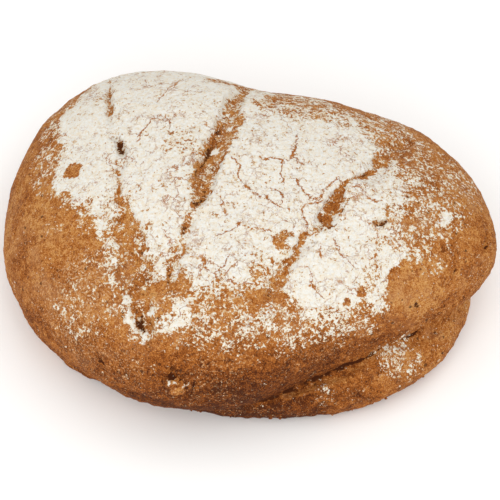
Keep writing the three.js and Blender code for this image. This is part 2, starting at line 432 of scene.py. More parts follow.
@dataclass
class Slashes:
    """The three slashes across the crown, torn open in stretches, and the small creases and pits."""

    wall: float = 2.0
    lip_height: float = 0.25
    lip_width: float = 2.4
    crease_wall: Range = (0.8, -0.6)
    # Painted shade in the creases and pits: where it fades out, its least and most strength, and how it
    # grows with depth.
    crease_shade: Range = (0.6, -0.5)
    least_dark: float = 0.35
    dark_by_depth: float = 0.4
    most_dark: float = 0.9
    strips: tuple[Stroke, ...] = (
        Stroke(((-65, 71, 57), (-63.5, 51, 67), (-61, 40, 71)), (1.4, 2.2, 2.4), 0.4, 0.46),
        Stroke(((-59, 11, 76), (-58, 0, 77), (-58, -5, 76), (-56, -14, 75)), (1.1, 0.9, 1.3, 1.2),
               0.5, 0.15),
        Stroke(((-53.5, -14, 77), (-54.5, -26, 74), (-51.5, -38, 74), (-50, -46, 71), (-48.5, -57, 68),
                (-47.5, -64, 62)), (1.6, 6.2, 8.2, 8.8, 7.6, 2.8), 0.4, 0.31, tooth=2.4, blur=4.0),
        Stroke(((-1, 65, 60), (-7, 44, 72), (-8.5, 32, 77), (-14, 16, 81), (-18.5, 5, 81),
                (-21, -8, 81), (-23.5, -17, 80)), (1.4, 4.8, 5.8, 6.8, 6.6, 5.6, 3.4),
               0.6, 0.36, raggedness=0.2, tooth=1.6, blur=2.2),
        Stroke(((-25.5, -21, 80), (-29.5, -33, 78), (-32, -41, 75), (-34.5, -48, 73),
                (-34.5, -54, 72)), (1.4, 2.6, 3.5, 2.8, 1.2), 0.4, 0.42, blur=3.0),
        Stroke(((73, 34, 61), (66, 25, 65), (59, 13, 70), (54, 5, 73)), (3.2, 4.0, 3.6, 1.5),
               0.5, 0.34, tooth=2.2, blur=3.0),
        Stroke(((54, 5, 73), (50, 2, 74), (43, -3, 78), (41, -8, 77)), (1.2, 1.1, 1.0, 1.4), 0.6, 0.12),
        Stroke(((41.5, -7, 77), (37.5, -14, 76), (34.5, -21, 75), (32.5, -26, 75)),
               (2.0, 4.4, 4.5, 2.6), 0.7, 0.22),
        Stroke(((30, -28, 76), (25, -32, 76), (22, -36, 74), (20, -40, 73), (18, -43, 73)),
               (1.8, 2.8, 2.8, 2.4, 2.0), 0.4, 0.32, blur=1.6),
        Stroke(((18, -43, 73), (16, -47, 72), (13, -52, 71), (9, -58, 69)), (1.6, 1.8, 2.4, 3.0),
               0.4, 0.22),
    )
    creases: tuple[Stroke, ...] = (
        Stroke(((-18, -7, 80), (-20, -13, 80), (-23, -17, 80)), (0.5, 1.2, 1.6), 0.8),
        Stroke(((-10, 34, 76), (-13, 27, 77), (-19, 9, 79), (-23, -5, 82)), (0.5, 0.9, 1.1, 0.7), 0.8),
        Stroke(((-62, 25, 75), (-58, 21, 75), (-57, 15, 74)), (0.3, 1.0, 1.7), 1.5),
        Stroke(((-51, -59, 64), (-49, -61, 63), (-48, -65, 61)), (0.3, 0.6, 0.7), 0.4),
        Stroke(((-47, -65, 61), (-46, -69, 58)), (1.0, 1.8), 1.6),
        Stroke(((-44, -74, 56), (-43, -76, 55)), (0.6, 0.9), 0.8),
        Stroke(((-42, -68, 62), (-40, -68, 64), (-39, -67, 65)), (0.4, 0.8, 0.6), 0.6),
        Stroke(((44.5, -12, 77), (40.5, -19, 76), (37.5, -25, 76), (33, -29, 76)),
               (0.4, 0.5, 0.6, 1.1), 0.6),
        Stroke(((29, -34, 75), (27, -34, 75)), (0.6, 0.8), 0.6),
        Stroke(((61, -13, 74), (61, -20, 71), (58, -22, 71), (55, -22, 73)), (0.5, 0.6, 1.1, 0.6), 0.7),
        Stroke(((-28, -28, 79), (-28.5, -32, 78)), (0.7, 0.9), 0.7),
        Stroke(((-34.5, -48, 73), (-35, -54, 72)), (0.6, 0.7), 0.6),
        Stroke(((-42, -58, 69), (-35, -58, 71), (-28, -58, 72)), (0.4, 0.6, 0.4), 0.4),
        Stroke(((-64.5, 62, 62), (-63.5, 51, 67), (-61, 40, 70)), (0.3, 0.6, 0.6), 0.3),
        Stroke(((-59, 42, 73), (-60, 37, 74)), (0.6, 0.8), 0.5),
        Stroke(((54, 5, 73), (50, 2, 74), (46, 0, 77)), (0.8, 0.7, 0.5), 0.5),
        Stroke(((-35.5, -86, 45.5), (-33.5, -86, 46.5), (-31, -86.5, 46.5)), (1.4, 2.5, 1.3), 2.0),
        Stroke(((-38, -88, 43), (-37, -89, 39), (-33, -90, 37)), (0.6, 0.7, 0.4), 0.8),
        Stroke(((-27, -90, 38), (-24, -90, 40), (-23, -88, 44)), (0.6, 1.0, 0.8), 1.2),
        Stroke(((-27.5, -88, 44.5), (-27.5, -89, 42.5)), (0.8, 1.0), 1.0),
        Stroke(((-31, -90, 42), (-29.5, -90, 42)), (0.7, 0.7), 0.6),
        Stroke(((-52, -36, 74), (-51, -38, 74)), (0.7, 0.8), 0.5),
        Stroke(((-49, -40, 73), (-48, -43, 73)), (0.7, 0.8), 0.5),
        Stroke(((-51, -50, 69), (-50, -53, 69)), (0.7, 0.8), 0.6),
        Stroke(((68, -44, 60.5), (69, -44, 60)), (0.8, 0.8), 0.6),
        Stroke(((74, -49, 51), (75, -50, 49)), (0.9, 1.0), 0.8),
        Stroke(((92, -34, 53), (92, -36, 51)), (0.8, 0.9), 0.8),
        Stroke(((98, 8, 57.5), (99, 6, 57)), (0.7, 0.8), 0.7),
        Stroke(((107, -16, 52), (107, -20, 51)), (0.9, 1.0), 1.6),
        Stroke(((-105, 17, 49), (-105, 13, 49)), (1.2, 1.2), 1.8),
        Stroke(((-65, -73, 40), (-66, -76, 37)), (0.6, 1.0), 1.0),
    )

    def heights(self, skin: Skin) -> np.ndarray:
        """Depth of the torn strips and creases and height of the strips' lips.

        Args:
            skin: The eased skin.

        Returns:
            One height for each vertex, in mm.
        """
        total = np.zeros(len(skin.points))
        for strip in self.strips:
            edge = strip.reach(skin)
            total -= strip.depth * ease(edge, self.wall * 0.5, -self.wall * 0.5)
            lip = np.exp(-(((edge - self.lip_width * 0.5) / (self.lip_width * 0.5)) ** 2))
            total += self.lip_height * min(1.0, strip.depth) * lip
        for crease in self.creases:
            total -= crease.depth * ease(crease.reach(skin), *self.crease_wall)
        return total

    def painted_shade(self, skin: Skin) -> np.ndarray:
        """How much painted shade the creases and pits get, the deeper the darker.

        Args:
            skin: The torn skin.

        Returns:
            A value from 0 to 1 for each vertex.
        """
        dark = np.zeros(len(skin.points))
        for crease in self.creases:
            strength = min(self.most_dark, self.least_dark + self.dark_by_depth * crease.depth)
            dark = np.maximum(dark, strength * ease(crease.reach(skin), *self.crease_shade))
        return dark

    def bare(self, skin: Skin, cover: np.ndarray) -> np.ndarray:
        """Takes the torn strips and the creases out of the flour.

        Args:
            skin: The torn skin.
            cover: The flour's cover at each vertex.

        Returns:
            The new cover.
        """
        for strip in self.strips:
            share = ease(strip.reach(skin), strip.blur, -strip.blur)
            cover = cover + (np.minimum(cover, strip.cover) - cover) * share
        return cover * (1.0 - self.painted_shade(skin))

    def torn(self, skin: Skin) -> np.ndarray:
        """How far inside a torn strip each vertex is, from 0 to 1."""
        return np.max([ease(strip.reach(skin), self.wall, -self.wall) for strip in self.strips], axis=0)


@dataclass
class Split:
    """The burst side: the line where the dome's lip hangs over the lower lobe."""

    depth: float = 1.2
    wall: Range = (1.2, -0.6)
    # Width and strength of the painted shade along the crack under the lip.
    shade: float = 0.8
    most_dark: float = 0.9
    lip_offset: Place = (0.0, -2.5, 5.0)
    lip_height: float = 1.0
    lip_width: float = 3.0
    line: Stroke = Stroke(
        ((100, -32, 31), (92, -38, 28), (84, -45, 30), (74, -50, 26), (67, -54, 27), (60, -58, 28),
         (50, -64, 26), (43, -68, 26), (36, -70, 24), (28, -73, 23), (22, -75, 21), (14, -78, 20),
         (4, -82, 18)),
        (0.6, 1.0, 0.8, 1.2, 0.5, 0.4, 0.8, 1.3, 1.6, 1.3, 1.5, 1.0, 0.4))

    def heights(self, skin: Skin) -> np.ndarray:
        """Depth of the crack and height of the lip above it.

        Args:
            skin: The eased skin.

        Returns:
            One height for each vertex, in mm.
        """
        above = tuple(tuple(np.add(place, self.lip_offset)) for place in self.line.places)
        lip = Stroke(above, self.line.half_widths)
        lift = self.lip_height * ease(lip.reach(skin), self.lip_width, -self.lip_width)
        return lift - self.depth * ease(self.line.reach(skin), *self.wall)

    def painted_shade(self, skin: Skin) -> np.ndarray:
        """How much painted shade each vertex gets along the split under the lip, from 0 to 1."""
        return self.most_dark * ease(self.line.reach(skin), self.shade, -self.shade)


@dataclass
class Flour:
    """The flour: the edge of the floured crown, and the places where it is thicker or thinner."""

    body: float = 1.34
    dusting: float = 0.02
    drift: float = 0.2
    drift_spacing: float = 15.0
    thickness: float = 0.12
    waver: float = 4.0
    waver_spacing: float = 10.0
    mottle: float = 0.5
    mottle_spacing: float = 17.0
    upward: Range = (-0.05, 0.25)
    edges: tuple[FlourEdge, ...] = (
        FlourEdge((-58, 82, 44), 18), FlourEdge((-79, 62, 55), 12), FlourEdge((-88, 38, 61), 8),
        FlourEdge((-88, 18, 64), 8), FlourEdge((-85, -1, 67), 6), FlourEdge((-76, -12, 70), 4),
        FlourEdge((-66, -30, 71), 6), FlourEdge((-60, -52, 66.5), 8), FlourEdge((-49, -72, 59), 4),
        FlourEdge((-36, -72, 62), 12), FlourEdge((-12, -68, 67), 22), FlourEdge((20, -66, 61), 24),
        FlourEdge((42, -62, 57), 18), FlourEdge((59, -56, 56), 6), FlourEdge((62, -42, 64), 2.5),
        FlourEdge((69, -32, 67), 9), FlourEdge((65, -12, 73), 14), FlourEdge((68, 7, 72), 14),
        FlourEdge((58, 26, 70), 12), FlourEdge((40, 42, 69), 16), FlourEdge((5, 64, 60), 16),
        FlourEdge((-16, 76, 50), 18),
    )
    patches: tuple[Patch, ...] = (
        # Dust low at the back and the ends.
        Patch((-36, 86, 38), 16, 0.36, 16), Patch((-84, 60, 44), 12, 0.34, 14),
        Patch((14, 72, 44), 15, 0.36, 16), Patch((62, 54, 48), 16, 0.38, 16),
        Patch((98, 12, 54), 12, 0.32, 14),
        # Round the crown's edge and beside the first slash.
        Patch((13, -69, 62), 10, 0.44, 9), Patch((36, -66, 55), 9, 0.48, 10),
        Patch((-19, -74, 63), 8, 0.46, 7), Patch((80, 14, 65), 24, 0.4, 18),
        Patch((84, -14, 64), 16, 0.43, 16), Patch((77, -25, 66), 6, 0.52, 7),
        Patch((62, 36, 66), 16, 0.46, 16), Patch((30, 47, 70), 17, 0.52, 16),
        Patch((-61, -15, 76), 8, 0.7, 8), Patch((-60, -42, 71), 8, 0.62, 9),
        Patch((-47, -27, 77), 6, 0.72, 8), Patch((1, -60, 71), 8, 0.42, 7),
        Patch((53, -47, 65), 9, 0.72, 8), Patch((-12, -60, 72), 7, 0.5, 7),
        Patch((-21, -62, 71), 6, 0.5, 6), Patch((-43, -61, 66), 4, 0.35, 4),
        Patch((-38, -61, 69), 4, 0.3, 4), Patch((-87, -19, 64), 5, 0.3, 8),
        Patch((-93, 8, 62), 7, 0.34, 8), Patch((-91, 23, 62), 9, 0.42, 12),
        Patch((-70, -42, 64), 12, 0.24, 14), Patch((-76, -57, 52), 15, 0.34, 16),
        # Thinner places on the crown.
        Patch((-38, 15, 81), 9, 0.9, 10), Patch((-44, -10, 80), 10, 0.86, 12),
        Patch((-29, 18, 81), 9, 0.66, 10), Patch((5, -31, 80), 11, 0.92, 12),
        Patch((8, -49, 75), 10, 0.6, 10), Patch((62, -5, 74), 11, 0.8, 12),
        Patch((59, -29, 71), 7, 0.76, 8), Patch((-25, -44, 77), 7, 0.72, 8),
        Patch((22, 52, 67), 9, 0.5, 10),
        # Bare and floury streaks along the front.
        Patch((-30, -57, 72), 7, 0.34, 6), Patch((-41, -56, 70), 5, 0.12, 5),
        Patch((-11, -65, 70), 5, 0.3, 6), Patch((6, -62, 69), 4.6, 0.24, 4),
        Patch((13, -60, 69), 3.4, 0.16, 3), Patch((-32, -67, 67), 6, 0.78, 6),
        Patch((-40, -68, 64), 5, 0.55, 5),
        # The bare patch by the narrow end, and small bare and floury spots.
        Patch((74, -45, 57), 12.5, 0.05, 3), Patch((64, -37, 66), 4, 1.0, 3),
        Patch((81, -37, 59), 2.4, 0.85, 3), Patch((88, -14, 65), 3.4, 0.95, 4),
        Patch((17, -32, 79), 3, 0.38, 2.5), Patch((14, -36, 78), 3.6, 0.16, 2.5),
        Patch((-79, 9, 70), 4.2, 0.04, 2), Patch((49, -53, 63), 2.2, 0.03, 1.5),
        Patch((43, -57, 62), 1.8, 0.05, 1.5), Patch((54, -63, 46), 1.6, 0.9, 1.5),
        # On the lobe.
        Patch((67, -61, 24), 11, 0.35, 10), Patch((67, -58, 28), 3.4, 0.56, 4),
        Patch((60, -60, 28), 5, 0.42, 5), Patch((66, -64, 21), 3.4, 0.46, 5),
        Patch((33, -77, 21), 5, 0.36, 6),
        # On the walnut lump.
        Patch((-34, -88, 44), 1.5, 0.85, 1.6), Patch((-32, -88, 44.5), 1.5, 0.9, 1.6),
        Patch((-29, -89, 43.5), 1.2, 0.85, 1.5), Patch((-26.5, -88, 43.5), 1.1, 0.85, 1.5),
        # At the foot of the first slash.
        Patch((-51, -64, 62), 2.6, 0.95, 3), Patch((-49, -69, 59), 2.4, 0.95, 3),
        Patch((-46, -74, 56), 2.0, 0.9, 2.5), Patch((-43.5, -68.5, 60.5), 3.4, 0.14, 2.5),
        # Smaller thick and thin places.
        Patch((6, 45, 73), 5, 0.4, 5), Patch((13, 51, 69), 7, 0.38, 6),
        Patch((-15, 66, 64), 6, 0.46, 6), Patch((-3, 64, 63), 7, 0.42, 6),
        Patch((-72, -13, 73), 4.2, 0.47, 4), Patch((-72, -22, 71), 5, 0.3, 5),
        Patch((-62, -28, 74), 3.5, 0.46, 4), Patch((-59, -44, 70), 3.2, 0.72, 3),
        Patch((-55, -50, 68), 3, 0.32, 3), Patch((-37, -63, 68), 3.5, 0.3, 3),
        Patch((-22, -64, 70), 3.4, 0.58, 4), Patch((-5, -66, 69), 4, 0.38, 4),
        Patch((9, -67, 65), 4.5, 0.62, 5), Patch((20, -64, 64), 4.5, 0.45, 5),
        Patch((33, -63, 61), 4, 0.64, 4), Patch((51, -62, 51), 5, 0.43, 5),
        Patch((65, -31, 68), 4, 0.55, 4), Patch((55, -39, 68), 4.5, 0.62, 5),
        Patch((61, -18, 73), 5, 0.58, 6), Patch((78, -24, 66), 4.5, 0.38, 5),
        Patch((82, -35, 59), 6, 0.38, 6), Patch((72, 6, 70), 6, 0.52, 6),
        Patch((-8, -78, 60), 3.6, 0.47, 4), Patch((-42, -50, 72), 3.6, 0.52, 4),
        Patch((50, -58, 57), 4.5, 0.42, 4), Patch((-82, -5, 69), 3.5, 0.34, 4),
        Patch((16, -39, 78), 3, 0.4, 3), Patch((-93, 43, 57), 6, 0.48, 7),
        Patch((73, -33, 64), 4.5, 0.56, 5), Patch((45, 38, 71), 5.5, 0.7, 6),
        Patch((-58, -62, 61), 4.5, 0.42, 5),
    )
    clumps: Clumps = Clumps(((-5, 46, 72), (-10, 26, 78), (-15, 8, 81), (-19, -9, 81)), 20, 3.2,
                            (0.5, 1.0))

    def cover(self, skin: Skin) -> np.ndarray:
        """How much of the crust the flour hides around each vertex.

        Args:
            skin: The skin that it lies on.

        Returns:
            A share for each vertex, where 0 is bare and 1 or more is thick.
        """
        closed = self.edges + self.edges[:1]
        outline, stops = skin.lay(tuple(edge.place for edge in closed))
        distance, share, _ = nearest_on(skin.points, outline)
        soft = np.interp(share, stops, [edge.softness for edge in closed])
        signed = np.where(inside_plan(skin.points, outline), distance, -distance)
        signed = signed + self.waver * grain(skin.points, self.waver_spacing, 4, Chance.FLOUR_EDGE)
        within = np.clip(0.5 + signed / (2.0 * soft), 0.0, 1.0)
        upward = ease(skin.normals[:, 2], *self.upward)
        drift = np.maximum(0.0, grain(skin.points, self.drift_spacing, 3, Chance.FLOUR_DRIFT))
        stray = self.dusting + self.drift * drift
        cover = (stray + (self.body - stray) * ease(within, 0.0, 1.0)) * upward
        thin = np.maximum(0.0, grain(skin.points, self.mottle_spacing, 3, Chance.FLOUR_MOTTLE))
        return lay_patches(skin, cover - self.mottle * thin * cover, self.patches)

    def clump(self, skin: Skin, cover: np.ndarray) -> np.ndarray:
        """The flour's cover with the clumps that fell into the middle slash."""
        return lay_patches(skin, cover, self.clumps.patches(skin))


@dataclass
class DustFilm:
    """The thin film of flour that was rubbed over the crust, seen as fine pale flecks."""

    base: float = 0.3
    mottle: float = 0.35
    spacing: float = 19.0
    upward: Range = (-0.7, 0.1)
    patches: tuple[Patch, ...] = (
        Patch((-74, -54, 55), 19, 0.78, 18), Patch((-55, -74, 51), 15, 0.5, 14),
        Patch((-12, -78, 60), 17, 0.5, 14), Patch((-88, -28, 61), 10, 0.25, 10),
        Patch((74, -45, 57), 10, 0.3, 8), Patch((88, -24, 62), 14, 0.4, 14),
    )

    def amount(self, skin: Skin) -> np.ndarray:
        """How dusty each vertex is, from 0 to 1."""
        dust = self.base + self.mottle * grain(skin.points, self.spacing, 3, Chance.DUST)
        return lay_patches(skin, dust, self.patches) * ease(skin.normals[:, 2], *self.upward)


@dataclass
class Cracks:
    """Fine cracks in the flour, drawn where they show most."""

    half_width: float = 2.4
    wander: float = 1.6
    bend_spacing: float = 5.0
    lines: tuple[tuple[Place, ...], ...] = (
        ((-8, 7, 82), (-4, 2, 82), (-4, -4, 82), (0, -11, 82), (4, -15, 81), (7, -12, 81),
         (11, -18, 81), (17, -21, 80)),
        ((9, -9, 81), (14, -13, 81), (15, -16, 81)),
        ((-13, -15, 82), (-10, -24, 81)),
        ((6, 7, 82), (12, 7, 81), (18, 6, 81), (20, 9, 80), (24, 5, 80)),
        ((15, 6, 81), (15, -7, 81)),
        ((18, 6, 81), (19, 12, 80), (21, 16, 79), (21, 23, 78)),
        ((20, -4, 81), (23, -8, 81), (25, -13, 80), (29, -14, 79), (32, -13, 79)),
        ((25, -27, 78), (23, -19, 80), (26, -17, 80), (32, -15, 79)),
        ((33, -11, 79), (33, -8, 79), (37, -6, 79), (40, -2, 79), (43, -7, 78)),
        ((46, -6, 78), (50, -6, 77), (51, -11, 76), (58, -12, 75)),
        ((3, -30, 79), (9, -31, 79)),
        ((-3, -26, 80), (-6, -30, 80), (-13, -34, 80)),
        ((-9, -43, 78), (-14, -51, 76), (-13, -55, 75)),
        ((-20, -45, 77), (-18, -50, 76), (-12, -51, 76), (-6, -56, 74)),
        ((38, -33, 74), (40, -39, 72), (47, -43, 68)),
        ((31, -37, 75), (31, -41, 73)),
        ((27, -49, 71), (28, -54, 68), (32, -57, 66)),
        ((-30, 64, 68), (-36, 56, 72), (-39, 47, 75), (-42, 44, 76)),
        ((-36, 26, 80), (-36, 30, 80), (-41, 34, 78), (-47, 27, 78), (-50, 22, 78)),
        ((-76, -18, 71), (-81, -20, 67)),
    )

    def offsets(self, skin: Skin) -> np.ndarray:
        """How far each vertex is from the nearest crack.

        Args:
            skin: The floured skin.

        Returns:
            A value from -1 to 1 across a crack and 0 on it, for each vertex.
        """
        wander = np.zeros(skin.points.shape)
        for axis in range(2):
            bends = grain(skin.points, self.bend_spacing, 2, Chance.CRACK_WANDER + axis)
            wander[:, axis] = self.wander * bends
        offsets = np.full(len(skin.points), np.inf)
        for line in self.lines:
            distance, _, side = nearest_on(skin.points + wander, skin.lay(line)[0])
            offsets = np.where(distance < np.abs(offsets), side * distance, offsets)
        return np.clip(offsets / self.half_width, -1.0, 1.0)


@dataclass
class Bake:
    """How brown the crust is: golden on the crown and ends, dark low at the front, partly as painted
    shade.
    """

    golden: float = 0.36
    # Darker low at the front: partly baked brown, partly painted shade; less at the ends and on
    # right-facing sides.
    front: float = 0.66
    front_place: float = -2.0
    front_reach: float = 56.0
    front_ends: float = 0.25
    front_heights: Range = (72.0, 28.0)
    front_facing: Range = (0.0, -0.75)
    front_turn: float = 0.45
    back: float = 0.16
    back_heights: Range = (60.0, 20.0)
    back_facing: Range = (0.1, 0.8)
    lobe_paleness: float = 0.55
    lobe_along: Range = (20.0, 60.0)
    lobe_heights: Range = (37.0, 30.0)
    rim: float = 0.14
    rim_heights: Range = (9.0, 1.0)
    mottle: float = 0.14
    mottle_spacing: float = 17.0
    pale_patches: tuple[Patch, ...] = (
        Patch((74, -45, 57), 14, 0.2, 8), Patch((-80, -20, 66), 14, 0.27, 14),
        Patch((-88, 0, 65), 12, 0.25, 12), Patch((16, -36, 79), 6, 0.3, 4),
        Patch((-30.5, -89.5, 42), 3.6, 0.3, 3),
    )

    def brownness(self, skin: Skin) -> np.ndarray:
        """How brown each vertex is.

        Args:
            skin: The torn skin.

        Returns:
            A value from 0, pale gold, to 1, nearly black, for each vertex.
        """
        x, _, z = skin.points.T
        sideways, backward, _ = skin.normals.T
        forward = backward + self.front_turn * np.maximum(sideways, 0.0)
        # Low front darkening, partly baked brown and partly painted shade.
        low_front = ease(z, *self.front_heights) * ease(forward, *self.front_facing)
        low_back = ease(z, *self.back_heights) * ease(backward, *self.back_facing)
        on_lobe = ease(x, *self.lobe_along) * ease(z, *self.lobe_heights)
        middle = np.exp(-(((x - self.front_place) / self.front_reach) ** 2))
        low_front = low_front * (self.front_ends + (1.0 - self.front_ends) * middle)
        brown = self.golden + self.front * low_front * (1.0 - self.lobe_paleness * on_lobe)
        brown = brown + self.back * low_back + self.rim * ease(z, *self.rim_heights)
        brown = brown + self.mottle * grain(skin.points, self.mottle_spacing, 3, Chance.BROWNING)
        return lay_patches(skin, brown, self.pale_patches)


class Layer(NamedTuple):
    """Soft random values: mm between lumps, detail, roughness, and how far they sway another value."""

    spacing: float
    detail: float
    roughness: float
    gain: float = 1.0


class Graph:
    """A node tree being wired: adds nodes, sets their sockets and links them."""

    BEND_DETAIL: ClassVar[float] = 3.0

    def __init__(self, tree: bpy.types.NodeTree) -> None:
        """Starts from an empty tree.

        Args:
            tree: The tree of a material, a world or a node group.
        """
        self.tree = tree
        tree.nodes.clear()

    def add(self, kind: str, inputs: dict[str | int, object] | None = None,
            **settings: object) -> bpy.types.Node:
        """Adds a node.

        Args:
            kind: The node's class without its leading ShaderNode, or a whole class name.
            inputs: Values, or sockets to link from, by the input's name or number.
            settings: The node's own properties.

        Returns:
            The new node.
        """
        whole = kind if kind.startswith("NodeGroup") else f"ShaderNode{kind}"
        node = self.tree.nodes.new(whole)
        for name, value in settings.items():
            setattr(node, name, value)
        for key, value in (inputs or {}).items():
            if isinstance(value, Socket):
                self.tree.links.new(value, node.inputs[key])
            else:
                node.inputs[key].default_value = value
        return node

    def math(self, operation: str, first: object, second: object = 0.0, third: object = 0.0) -> Socket:
        """The result of a sum on up to three values or sockets."""
        return self.add("Math", {0: first, 1: second, 2: third}, operation=operation).outputs[0]

    def sway(self, value: object, gain: float, base: object = 0.0) -> Socket:
        """A base value that a random value around 0.5 moves up or down by a gain."""
        moved = self.math("MULTIPLY_ADD", value, gain, -0.5 * gain)
        return self.math("ADD", moved, base)

    def span(self, value: object, low: object, high: object, start: float = 0.0,
             end: float = 1.0) -> Socket:
        """A value that goes smoothly from start to end while another goes from low to high."""
        inputs = {"Value": value, "From Min": low, "From Max": high, "To Min": start, "To Max": end}
        return self.add("MapRange", inputs, interpolation_type="SMOOTHSTEP").outputs[0]

    def blend(self, share: object, first: object, second: object) -> Socket:
        """Two colours mixed by a share."""
        return self.add("Mix", {0: share, 6: first, 7: second}, data_type="RGBA").outputs[2]

    def noise(self, coordinates: Socket, layer: Layer) -> Socket:
        """Soft random values from 0 to 1."""
        inputs = {"Vector": coordinates, "Scale": 1.0 / (layer.spacing * MM), "Detail": layer.detail,
                  "Roughness": layer.roughness}
        return self.add("TexNoise", inputs).outputs["Fac"]

    def bent(self, coordinates: Socket, spacing: float, reach: float) -> Socket:
        """Coordinates that wander.

        Args:
            coordinates: The straight coordinates.
            spacing: Distance between bends, in mm.
            reach: How far they wander, in mm.

        Returns:
            The bent coordinates.
        """
        inputs = {"Vector": coordinates, "Scale": 1.0 / (spacing * MM), "Detail": self.BEND_DETAIL}
        wander = self.add("TexNoise", inputs).outputs["Color"]
        inputs = {0: wander, 1: (2.0 * reach * MM,) * 3, 2: coordinates}
        return self.add("VectorMath", inputs, operation="MULTIPLY_ADD").outputs[0]

    def cells(self, coordinates: Socket, size: float, feature: str = "F1") -> bpy.types.Node:
        """A node that divides the surface into cells of a size in mm."""
        inputs = {"Vector": coordinates, "Scale": 1.0 / (size * MM)}
        return self.add("TexVoronoi", inputs, feature=feature)

    def give(self, target: bpy.types.Node, sockets: dict[str, Socket]) -> None:
        """Links sockets to a node's inputs, by the inputs' names."""
        for name, socket in sockets.items():
            self.tree.links.new(socket, target.inputs[name])

    def surface(self, inputs: dict[str, object]) -> None:
        """Ends a material with a surface that has some inputs."""
        shader = self.add("BsdfPrincipled", inputs)
        self.add("OutputMaterial", {"Surface": shader.outputs["BSDF"]})


def new_material(mesh: bpy.types.Mesh, name: str) -> Graph:
    """Gives a mesh a new material.

    Args:
        mesh: The mesh to dress.
        name: The material's name.

    Returns:
        A graph to wire the material with.
    """
    material = bpy.data.materials.new(name)
    material.use_nodes = True
    mesh.materials.append(material)
    return Graph(material.node_tree)


def colour(red: int, green: int, blue: int) -> tuple[float, float, float, float]:
    """A colour given as it looks on a screen, from 0 to 255, in the renderer's linear values."""
    linear = [((part / 255 + 0.055) / 1.055) ** 2.4 if part > 10 else part / 255 / 12.92
              for part in (red, green, blue)]
    return (*linear, 1.0)


class SocketKind(str, Enum):
    """Kinds of sockets on a node group."""

    VALUE = "NodeSocketFloat"
    COLOUR = "NodeSocketColor"
    VECTOR = "NodeSocketVector"


def new_group(name: str, inputs: dict[str, SocketKind],
              outputs: dict[str, SocketKind]) -> tuple[Graph, bpy.types.Node, bpy.types.Node]:
    """Makes an empty shader node group.

    Args:
        name: The group's name.
        inputs: Its input sockets by name.
        outputs: Its output sockets by name.

    Returns:
        A graph to wire the group with, and its input and output nodes.
    """
    tree = bpy.data.node_groups.new(name, "ShaderNodeTree")
    for socket, kind in inputs.items():
        tree.interface.new_socket(socket, in_out="INPUT", socket_type=kind.value)
    for socket, kind in outputs.items():
        tree.interface.new_socket(socket, in_out="OUTPUT", socket_type=kind.value)
    graph = Graph(tree)
    return graph, graph.add("NodeGroupInput"), graph.add("NodeGroupOutput")


